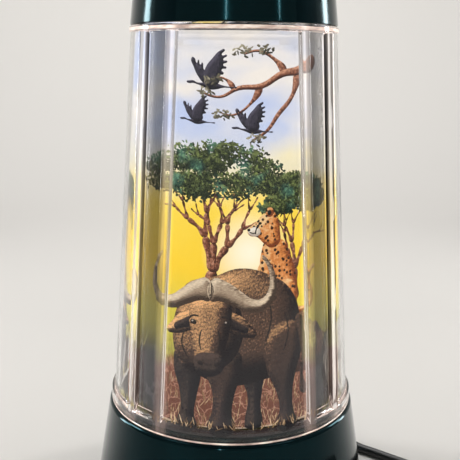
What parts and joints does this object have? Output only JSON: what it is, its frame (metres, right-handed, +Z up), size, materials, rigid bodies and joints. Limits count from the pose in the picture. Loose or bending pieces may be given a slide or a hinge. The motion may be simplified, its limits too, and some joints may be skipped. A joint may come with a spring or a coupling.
{
  "type": "rotating motion lamp",
  "caption": "Table lamp whose bulb warms air that turns a vaned wheel and its lit picture drum inside a clear ribbed shell, on a flared base with a cord.",
  "frame": {"origin": "centre of the lamp's base on the table, under its rubber feet", "axes": "+Z up the lamp's axis; -Y is the front window between two rib posts; +Y is the cord's exit"},
  "size_m": [0.2184, 0.2975, 0.3011],
  "materials": {
    "gloss_green": "polished, very dark green",
    "black_rubber": "matt",
    "zinc_screw": "zinc plated",
    "bright_sheet": "bright rolled sheet",
    "zinc_sheet": "zinc plated sheet",
    "brass_parts": "turned and pressed",
    "porcelain": "glazed, off-white",
    "bulb_metal": "bright drawn",
    "bulb_glass": "clear, lit from inside",
    "filament": "drawn wire on a glass stem",
    "cord_sheath": "satin black sheath",
    "steel_wire": "drawn wire",
    "pressed_aluminium": "pressed thin sheet",
    "drum_print": "translucent print, lit from behind",
    "cream_hoop": "cream edge strip",
    "clear_shell": "clear moulded plastic, polished",
    "picture_print": "translucent print, lit from behind",
    "smoke_plastic": "dark translucent",
    "switch_plastic": "fine spark texture",
    "tie_wire": "coated wire tie",
    "plug_vinyl": "moulded, satin"
  },
  "bodies": {
    "lamp": {"base_housing": "gloss_green", "base_floor": "gloss_green", "rubber_feet": "black_rubber", "floor_screws": "zinc_screw", "reflector_pan": "bright_sheet", "pan_screws": "zinc_screw", "holder_bracket": "zinc_sheet", "bracket_screws": "zinc_screw", "holder_nipple": "brass_parts", "holder_nut": "brass_parts", "lampholder_body": "porcelain", "lampholder_screw_shell": "brass_parts", "holder_contact": "brass_parts", "bulb_cap": "bulb_metal", "bulb_glass": "bulb_glass", "filament_mount": "filament", "supply_lead": "cord_sheath", "strain_relief": "cord_sheath", "pivot_bail": "steel_wire", "needle_hub": "brass_parts", "pivot_needle": "steel_wire", "cord_near_run": "cord_sheath", "switch_lower_half": "switch_plastic", "switch_upper_half": "switch_plastic", "switch_screws": "zinc_screw", "wheel_axle": "steel_wire", "cord_second_run": "cord_sheath", "cord_coil": "cord_sheath", "coil_tie": "tie_wire", "plug_lead": "cord_sheath", "plug_body": "plug_vinyl", "plug_blades": "brass_parts"},
    "rotor": {"drum_film": "drum_print", "heat_wheel": "pressed_aluminium", "bearing_cup": "brass_parts", "drum_top_hoop": "pressed_aluminium", "drum_foot_hoop": "cream_hoop"},
    "shell": {"outer_shell": "clear_shell", "picture_film": "picture_print", "film_frame": "smoke_plastic"},
    "cap": {"cap": "gloss_green", "heat_baffle": "bright_sheet", "baffle_screws": "zinc_screw"},
    "switch_wheel": {"thumb_wheel": "switch_plastic"}
  },
  "joints": [
    {"name": "rotor_spin", "type": "hinge", "parent": "lamp", "child": "rotor", "pos_m": [0, 0, 0.2338], "axis": [0, 0, 1], "continuous": true},
    {"name": "shell_lift", "type": "slide", "parent": "lamp", "child": "shell", "axis": [0, 0, 1], "range_m": [0, 0.25]},
    {"name": "cap_lift", "type": "slide", "parent": "shell", "child": "cap", "axis": [0, 0, 1], "range_m": [0, 0.08]},
    {"name": "switch_wheel_turn", "type": "hinge", "parent": "lamp", "child": "switch_wheel", "pos_m": [0.1334, -0.053, 0.007], "axis": [0, 0, 1], "continuous": true}
  ]
}
